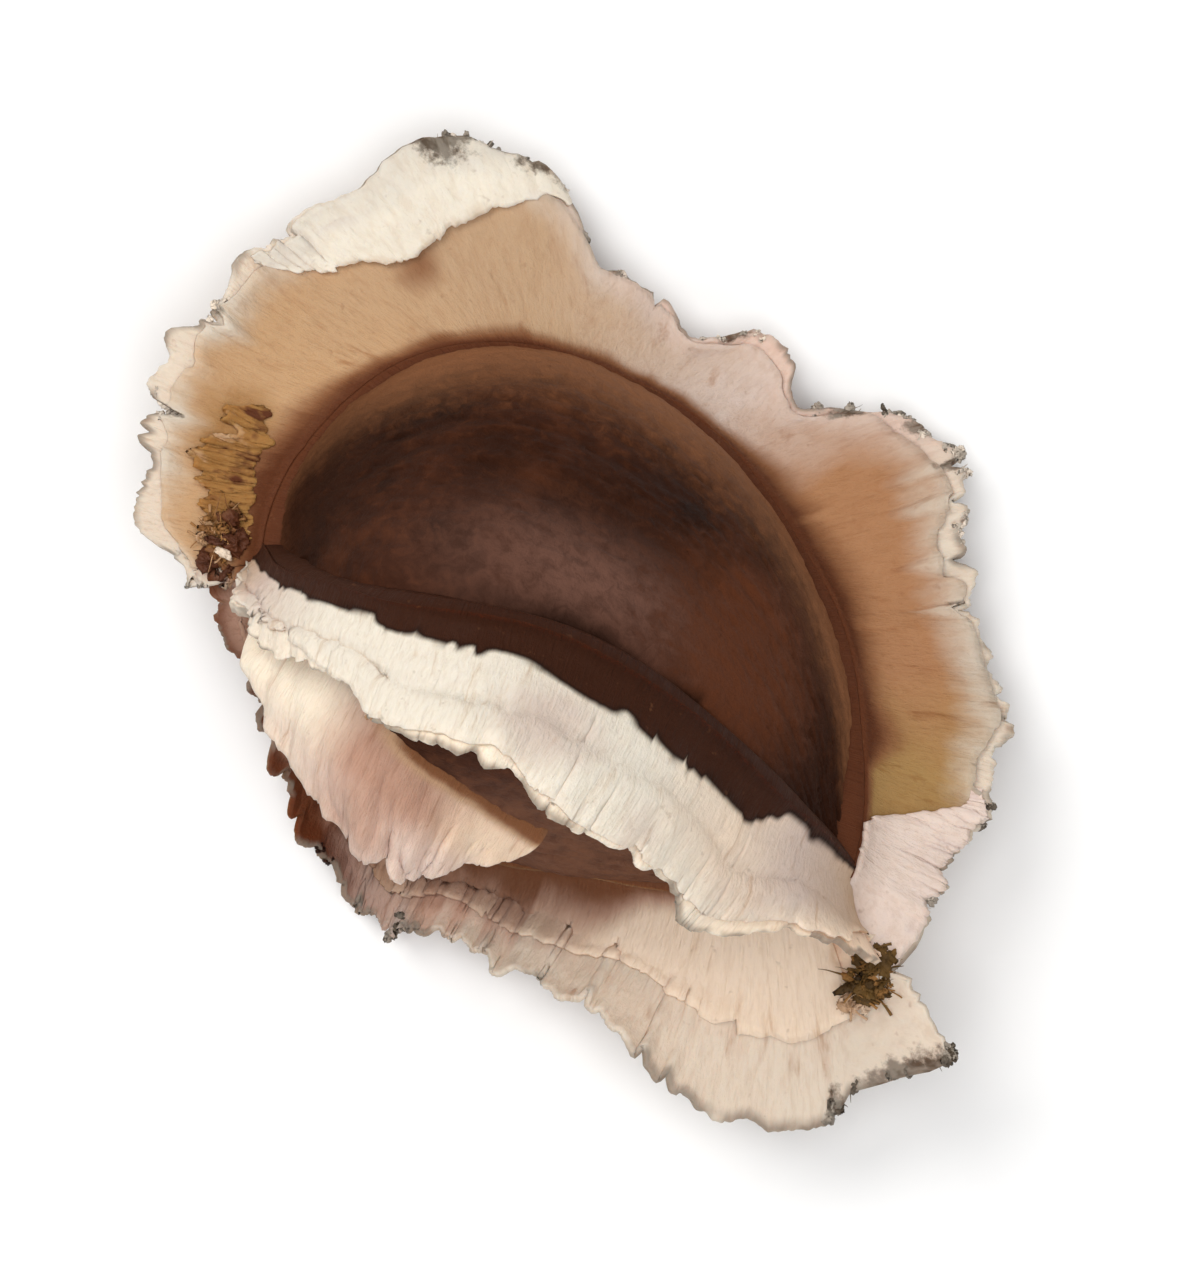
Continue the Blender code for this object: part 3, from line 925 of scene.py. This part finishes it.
# Its flakes and fibres: how many, how far they stray along the root and how they are turned,
# then their depths, lengths and widths as shares of its size, and radii in mm
RIM_FLAKES, FLAKE_STRAY, FLAKE_TURNS = 6, 0.014, (0.7, 0.7, 0.2)
RIM_FLAKE_DEPTHS, RIM_FLAKE_LENGTHS, RIM_FLAKE_WIDTHS = (0.02, 0.22), (0.22, 0.42), (0.14, 0.28)
TONE_CHANGE = 0.05
RIM_FIBRES, FIBRE_STRAY, FIBRE_TURNS = 3, 0.012, (0.6, 0.6, 0.25)
RIM_FIBRE_DEPTH, RIM_FIBRE_LENGTHS, RIM_FIBRE_RADII = 0.15, (0.2, 0.36), (0.014, 0.026)


def fray(heap, draw, kind, fraction, size, tone):
    """A frayed spot on a rim: a few torn flakes and short fibres."""
    for _ in range(RIM_FLAKES):
        rim, way = rim_point(kind, fraction + draw.uniform(-FLAKE_STRAY, FLAKE_STRAY))
        spot = rim - way * draw.uniform(*RIM_FLAKE_DEPTHS) * size
        heading = way + draw.normal(size=3) * FLAKE_TURNS
        length, width = size * draw.uniform(*RIM_FLAKE_LENGTHS), size * draw.uniform(*RIM_FLAKE_WIDTHS)
        change = draw.uniform(-TONE_CHANGE, TONE_CHANGE)
        flake(heap, draw, spot, heading, length, width, tone=tone + change)
    for _ in range(RIM_FIBRES):
        rim, way = rim_point(kind, fraction + draw.uniform(-FIBRE_STRAY, FIBRE_STRAY))
        heading = way + draw.normal(size=3) * FIBRE_TURNS
        radius, length = draw.uniform(*RIM_FIBRE_RADII), size * draw.uniform(*RIM_FIBRE_LENGTHS)
        fibre(heap, draw, rim - way * RIM_FIBRE_DEPTH, heading, length, radius, tone=tone)


def torn_fibres(material):
    heap = Heap()
    tuft(heap, *BLUNT_TUFT)
    tuft(heap, *POINTED_TUFT)
    draw = np.random.default_rng(FRAY_SEED)
    for spot in FRAYS:
        fray(heap, draw, *spot)
    heap.piece("torn_fibres", material)


# Materials


class Graph:
    """Short names for the nodes that the materials are made of."""

    def __init__(self, name):
        self.material = bpy.data.materials.new(name)
        self.material.use_nodes = True
        self.nodes = self.material.node_tree.nodes
        self.links = self.material.node_tree.links
        self.shader = self.nodes["Principled BSDF"]

    def node(self, kind, *inputs, **settings):
        """A new node, its inputs fed in their own order."""
        made = self.nodes.new("ShaderNode" + kind)
        for name, value in settings.items():
            setattr(made, name, value)
        for socket, value in zip(made.inputs, inputs):
            self.feed(socket, value)
        return made

    def fill(self, made, **values):
        """Feeds a node's inputs by their names, with an underscore for each space."""
        for name, value in values.items():
            self.feed(made.inputs[name.replace("_", " ")], value)

    def feed(self, socket, value):
        if isinstance(value, bpy.types.NodeSocket):
            self.links.new(value, socket)
        elif value is not None:
            socket.default_value = value

    def attribute(self, name):
        return self.node("Attribute", attribute_name=name).outputs["Fac"]

    def position(self):
        """The place on the seed, in mm."""
        where = self.node("TexCoord").outputs["Object"]
        return self.node("VectorMath", where, None, None, 1 / MM, operation="SCALE").outputs["Vector"]

    def combine(self, x, y, z):
        return self.node("CombineXYZ", x, y, z).outputs["Vector"]

    def math(self, operation, first, second, clamp=False):
        made = self.node("Math", first, second, operation=operation, use_clamp=clamp)
        return made.outputs["Value"]

    def add(self, first, second, clamp=False):
        return self.math("ADD", first, second, clamp)

    def times(self, first, second):
        return self.math("MULTIPLY", first, second)

    def sway(self, change, strength):
        """A noise moved to lie about zero, and made as strong as strength."""
        return self.times(self.math("SUBTRACT", change, 0.5), strength)

    def noise(self, vector, scale, detail=3.0, roughness=0.55, distortion=0.0):
        made = self.node("TexNoise", vector)
        self.fill(made, Scale=scale, Detail=detail, Roughness=roughness, Distortion=distortion)
        return made.outputs["Fac"]

    def ramp(self, value, stops):
        made = self.node("ValToRGB", value)
        elements = made.color_ramp.elements
        while len(elements) < len(stops):
            elements.new(0.5)
        for element, (where, colour) in zip(elements, stops):
            element.position = where
            element.color = colour
        return made.outputs["Color"]

    def fade(self, value, start, end, low=0.0, high=1.0):
        """From low to high as the value goes from start to end."""
        made = self.node("MapRange", value, start, end, low, high, interpolation_type="SMOOTHSTEP")
        return made.outputs["Result"]

    def spot(self, where, centre, size, change):
        """A soft ragged spot: 0.8 at its centre, and 0 at size mm from it."""
        made = self.node("VectorMath", where, centre, operation="DISTANCE")
        far = self.math("DIVIDE", made.outputs["Value"], size)
        return self.fade(self.add(far, self.math("SUBTRACT", change, 0.5)), 1.0, 0.3, 0.0, 0.8)

    def mix(self, share, first, second, way="MIX"):
        made = self.node("Mix", share, data_type="RGBA", blend_type=way)
        self.feed(made.inputs[6], first)
        self.feed(made.inputs[7], second)
        return made.outputs[2]

    def bump(self, height, distance, normal=None):
        made = self.node("Bump")
        self.fill(made, Height=height, Distance=distance * MM, Normal=normal)
        return made.outputs["Normal"]

    def finish(self, colour, roughness, normal, **numbers):
        self.fill(self.shader, Base_Color=colour, Roughness=roughness, Normal=normal, **numbers)
        return self.material


def srgb(red, green, blue):
    """A colour for the shaders from one on the screen, 0 to 255."""
    shares = (part / 255 for part in (red, green, blue))
    return (*(s / 12.92 if s <= 0.04045 else ((s + 0.055) / 1.055) ** 2.4 for s in shares), 1.0)


BLACK_BROWN = srgb(30, 12, 4)
ESPRESSO = srgb(56, 28, 15)
CHESTNUT = srgb(92, 50, 29)
MAUVE_BROWN = srgb(104, 72, 60)
WARM_BROWN = srgb(134, 88, 58)
RED_BROWN = srgb(118, 74, 50)
TAN = srgb(192, 156, 124)
ORANGE_TAN = srgb(172, 122, 86)
OLIVE_TAN = srgb(166, 128, 80)
PEACH_TAN = srgb(200, 156, 116)
PEACH = srgb(246, 216, 190)
PINK_BEIGE = srgb(212, 186, 172)
PINK_BROWN = srgb(184, 146, 126)
PINK_CREAM = srgb(232, 206, 192)
CREAM = srgb(242, 226, 206)
SHELL_GREY = srgb(226, 212, 196)
PALE_GREY = srgb(212, 198, 182)
FRAY_GREY = srgb(122, 112, 100)
GOLD = srgb(158, 112, 62)
OLIVE = srgb(104, 76, 36)
OLIVE_BLACK = srgb(54, 36, 14)

# Colours along a noise or a share, and spots as colour, centre and size in mm
HULL_CLOUDS = ((0.34, BLACK_BROWN), (0.44, ESPRESSO), (0.58, ESPRESSO), (0.74, CHESTNUT))
HULL_SPOT = ((3.9, 1.7, 5.6), 2.6)
LOBE_TONES = ((0.50, TAN), (0.64, CREAM), (0.80, CREAM), (0.95, SHELL_GREY))
CORNER_TONES = ((0.0, PINK_BEIGE), (0.4, PINK_CREAM))
BARK_TONES = ((0.40, CHESTNUT), (0.48, GOLD), (0.56, GOLD), (0.64, PEACH_TAN))
FIBRE_TONES = (
    (0.0, BLACK_BROWN), (0.08, ESPRESSO), (0.18, CHESTNUT), (0.30, GOLD), (0.40, TAN), (0.50, CREAM),
    (0.58, SHELL_GREY), (0.68, FRAY_GREY), (0.78, OLIVE_BLACK), (0.88, OLIVE), (1.0, GOLD),
)
SPREAD_TINTS = (
    (0.0, PEACH_TAN), (0.22, PEACH_TAN), (0.38, TAN), (0.50, PINK_BEIGE), (0.60, ORANGE_TAN),
    (0.74, ORANGE_TAN), (0.86, OLIVE_TAN), (0.93, OLIVE_TAN), (0.96, PINK_CREAM),
)
SPREAD_RIMS = (
    (0.0, PALE_GREY), (0.35, SHELL_GREY), (0.43, PINK_BEIGE), (0.55, PINK_BEIGE), (0.62, PALE_GREY),
)
SPREAD_SPOTS = (
    # The first spot is painted shadow under the torn lobe's inner edge
    (WARM_BROWN, (-4.15, 3.78, 1.9), 0.6),
    (GOLD, (-5.1, -0.26, 2.8), 1.0),
    (RED_BROWN, (-3.9, -0.4, 3.2), 1.1),
)
TOP_TINTS = (
    (0.0, TAN), (0.10, PINK_BEIGE), (0.22, CREAM), (0.62, CREAM), (0.75, PEACH), (0.87, PINK_BEIGE),
    (1.0, TAN),
)
TOP_RIMS = ((0.0, SHELL_GREY), (0.3, CREAM), (0.78, CREAM), (0.92, PEACH))
TOP_SPOTS = ((PINK_BEIGE, (1.8, -1.0, 8.8), 1.3), (PINK_BEIGE, (4.2, -1.7, 8.6), 0.8))
TUCKED_TINTS = ((0.0, WARM_BROWN), (0.36, WARM_BROWN), (0.48, PEACH), (1.0, PEACH))
TUCKED_RIMS = ((0.0, CHESTNUT), (0.30, CHESTNUT), (0.46, PINK_BEIGE), (0.56, PALE_GREY))
FLAP_TINTS = ((0.0, CREAM), (0.28, CREAM), (0.42, PINK_BROWN), (0.60, PINK_BROWN), (0.80, PEACH))
FLAP_RIMS = ((0.0, CREAM), (0.4, PINK_BEIGE), (0.7, PINK_CREAM))
FLAP_SPOTS = ((PINK_BROWN, (-0.1, -4.2, 6.2), 1.5), (TAN, (0.7, -3.2, 6.4), 0.8))


def hull_material():
    """Dark brown and mottled, with a painted highlight near the top corner, mauve between the top and
    tucked wings, and warmer towards the spread wing.
    """
    g = Graph("hull")
    where = g.position()
    warm, along, relief, painted_shade = map(g.attribute, ("warm", "along", "relief", "painted_shade"))
    clouds = g.noise(where, 0.55, 4.0)
    mottle = g.noise(where, 3.2, 5.0, 0.65, 0.6)
    base = g.ramp(clouds, HULL_CLOUDS)
    base = g.mix(g.fade(mottle, 0.42, 0.78, 0.0, 0.5), base, CHESTNUT)
    base = g.mix(g.fade(relief, -0.06, 0.08, 0.5, 0.0), base, BLACK_BROWN)
    # Mauve: a painted highlight near the top corner, and a tint on the facet between the top and tucked
    # wings
    highlight_and_mauve = g.times(g.attribute("highlight_and_mauve"), g.fade(mottle, 0.3, 0.6, 0.55, 1.0))
    base = g.mix(highlight_and_mauve, base, MAUVE_BROWN)
    ridge = g.add(warm, g.sway(mottle, 0.5))
    base = g.mix(g.fade(ridge, 0.0, 0.85, 0.0, 0.9), base, WARM_BROWN)
    base = g.mix(g.fade(along, 0.30, 0.16, 0.0, 0.45), base, BLACK_BROWN)
    base = g.mix(g.fade(along, 0.13, 0.02, 0.0, 0.85), base, RED_BROWN)
    base = g.mix(g.spot(where, *HULL_SPOT, mottle), base, CHESTNUT)
    # Painted shade along the top wing's root
    base = g.mix(painted_shade, base, BLACK_BROWN)
    normal = g.bump(g.noise(where, 16.0, 4.0, 0.6), 0.018)
    normal = g.bump(g.noise(where, 5.0, 3.0, 0.5, 0.8), 0.03, normal)
    rough = g.fade(mottle, 0.3, 0.7, 0.50, 0.66)
    return g.finish(base, rough, normal, Specular_IOR_Level=0.04)


FIBRES_ALONG = 75.0
FIBRES_OUTWARDS = 2.2


def wing_material(name, tints, rims, seed, root, deep, spots):
    """Tinted along the wing, stained at the root, pale at the rim, with fibres running out; on the top wing
    the stain's edge is black, painted shadow along its root.
    """
    g = Graph(name)
    where = g.position()
    facts = ("reach", "along", "layer", "stain", "frayed")
    reach, along, layer, stain, frays = map(g.attribute, facts)
    fibres = g.combine(g.times(along, FIBRES_ALONG), g.times(reach, FIBRES_OUTWARDS), float(seed))
    streaks = g.noise(fibres, 1.0, 4.0, 0.6, 0.4)
    threads = g.noise(fibres, 4.2, 3.0, 0.6, 0.3)
    clouds = g.noise(where, 0.7, 3.0)
    shift = g.add(g.sway(clouds, 0.35), g.sway(streaks, 0.20))
    outwards = g.add(reach, shift, clamp=True)
    sideways = g.add(along, g.sway(clouds, 0.10))
    tint, rim = g.ramp(sideways, tints), g.ramp(sideways, rims)
    own = g.fade(layer, 0.9, 0.1)
    base = g.mix(g.fade(outwards, 0.62, 1.0, 0.0, 0.85), tint, rim)
    base = g.mix(g.times(own, g.fade(reach, 0.3, 0.6, 0.0, 0.9)), base, rim)
    base = g.mix(g.fade(streaks, 0.56, 0.74, 0.0, 0.5), base, TAN, "MULTIPLY")
    for colour, centre, size in spots:
        base = g.mix(g.spot(where, centre, size, clouds), base, colour)
    ragged = g.add(stain, g.sway(clouds, g.fade(stain, 0.0, 0.3, 0.0, 0.5)))
    # The root colour shows in the stain's outer band: on the top wing it is black, painted shadow along its
    # root
    base = g.mix(g.fade(ragged, 0.05, 0.70), base, root)
    base = g.mix(g.fade(ragged, 0.55, 0.95), base, deep)
    torn = g.times(g.add(streaks, g.noise(where, 1.5, 3.0, 0.6)), 0.5)
    patches = (LOBE_LAYER, outwards, LOBE_TONES), (CORNER_LAYER, outwards, CORNER_TONES)
    for level, value, tones in (*patches, (BARK_LAYER, torn, BARK_TONES)):
        base = g.mix(g.fade(layer, level - 0.5, level - 0.1), base, g.ramp(value, tones))
    base = g.mix(g.fade(threads, 0.58, 0.30, 0.0, 0.16), base, TAN, "MULTIPLY")
    specks = g.noise(where, 5.5, 2.0, 0.5)
    base = g.mix(g.fade(specks, 0.66, 0.80, 0.0, 0.3), base, WARM_BROWN)
    edge = g.times(g.fade(reach, 0.93, 1.0), g.fade(clouds, 0.44, 0.56, 0.0, 0.8))
    base = g.mix(g.times(edge, own), base, FRAY_GREY)
    patchy = g.add(frays, g.sway(g.noise(where, 4.5, 4.0, 0.65), 1.6))
    worn_out = g.times(g.fade(patchy, 0.25, 0.75), g.fade(frays, 0.02, 0.25, 0.0, 0.9))
    base = g.mix(worn_out, base, g.mix(g.fade(threads, 0.60, 0.35), FRAY_GREY, OLIVE_BLACK))
    normal = g.bump(threads, 0.03)
    normal = g.bump(g.noise(where, 9.0, 4.0, 0.6), 0.02, normal)
    rough = g.fade(streaks, 0.3, 0.7, 0.52, 0.70)
    return g.finish(
        base, rough, normal, Specular_IOR_Level=0.08, Subsurface_Weight=0.25,
        Subsurface_Scale=0.5 * MM, Subsurface_Radius=(1.0, 0.6, 0.4),
    )


def fibre_material():
    g = Graph("torn_fibres")
    where = g.position()
    tone = g.add(g.attribute("tone"), g.sway(g.noise(where, 3.0), 0.16))
    base = g.ramp(tone, FIBRE_TONES)
    normal = g.bump(g.noise(where, 12.0, 4.0, 0.6), 0.03)
    return g.finish(base, g.fade(tone, 0.0, 1.0, 0.45, 0.6), normal, Specular_IOR_Level=0.2)


# Stage, in metres

FLOOR_SIZE = 0.8
FLOOR_TINTS = ((0.3, (0.90, 0.90, 0.90, 1.0)), (0.7, (0.92, 0.92, 0.92, 1.0)))
FLOOR_ROUGHNESS = 0.9

# Name, location, size, watts and colour
LIGHTS = (
    ("key", (-0.18, 0.04, 0.24), 0.18, 0.46, (1.0, 0.98, 0.95)),
    ("overhead", (0.02, -0.02, 0.36), 0.26, 0.66, (1, 1, 1)),
    ("fill", (0.20, -0.16, 0.16), 0.25, 0.19, (0.96, 0.98, 1.0)),
)
STUDIO_STRENGTH = 0.34

CAMERA_ROLL = math.radians(34)
CAMERA_HEIGHT = 0.30
CAMERA_NEAREST = 0.01
SENSOR_WIDTH = 36
VIEW_CENTRE = (1.75 * MM, 0.3 * MM)
VIEW_HEIGHT = 21 * MM


def floor():
    bpy.ops.mesh.primitive_plane_add(size=FLOOR_SIZE)
    ground = bpy.context.object
    ground.name = "floor"
    g = Graph("floor")
    tint = g.ramp(g.noise(g.position(), 0.02, 2.0), FLOOR_TINTS)
    ground.data.materials.append(g.finish(tint, FLOOR_ROUGHNESS, None))


def light(name, location, size, power, colour):
    lamp = bpy.data.lights.new(name, "AREA")
    lamp.shape, lamp.size, lamp.energy, lamp.color = "DISK", size, power, colour
    put(name, lamp, location, (-Vector(location)).to_track_quat("-Z", "Y").to_euler())


def studio():
    world = bpy.data.worlds.new("studio")
    world.use_nodes = True
    background = world.node_tree.nodes["Background"]
    background.inputs["Color"].default_value = (1.0, 1.0, 1.0, 1.0)
    background.inputs["Strength"].default_value = STUDIO_STRENGTH
    bpy.context.scene.world = world


def camera():
    """Looks straight down, turned so that the seed lies as it does in the photograph."""
    made = bpy.data.cameras.new("camera")
    made.sensor_width = SENSOR_WIDTH
    made.lens = SENSOR_WIDTH * CAMERA_HEIGHT / VIEW_HEIGHT
    made.clip_start = CAMERA_NEAREST
    location = (*VIEW_CENTRE, CAMERA_HEIGHT)
    bpy.context.scene.camera = put("camera", made, location, (0, 0, CAMERA_ROLL))


# Each wing's piece, the reach and raggedness of its upper and under skin, and its torn patches
WINGS = (
    ("spread_wing", SPREAD, (0.88, 0.07), (0.7, 0.12), (lobe, corner_fold, torn_bark)),
    ("top_wing", TOP, (0.92, 0.05), (0.6, 0.12), ()),
    ("tucked_wing", TUCKED, (0.66, 0.06), (0.6, 0.12), ()),
)

# What each piece's wing_material is made with, after its name
LOOKS = {
    "spread_wing": (SPREAD_TINTS, SPREAD_RIMS, 2, WARM_BROWN, CHESTNUT, SPREAD_SPOTS),
    # The top wing's black root colour is painted shadow along its root
    "top_wing": (TOP_TINTS, TOP_RIMS, 5, BLACK_BROWN, ESPRESSO, TOP_SPOTS),
    "tucked_wing": (TUCKED_TINTS, TUCKED_RIMS, 8, PINK_BROWN, RED_BROWN, ()),
    "flap": (FLAP_TINTS, FLAP_RIMS, 11, TAN, WARM_BROWN, FLAP_SPOTS),
}

hull(hull_material())
for name, kind, upper, under, patches in WINGS:
    heap = wing(kind, upper, under)
    for patch in patches:
        skin(heap, kind, *patch(), PATCH_THICKNESS, kind.up)
    heap.piece(name, wing_material(name, *LOOKS[name]))
flap(wing_material("flap", *LOOKS["flap"]))
torn_fibres(fibre_material())

floor()
for lamp in LIGHTS:
    light(*lamp)
studio()
camera()
bpy.context.scene.view_settings.view_transform = "Standard"
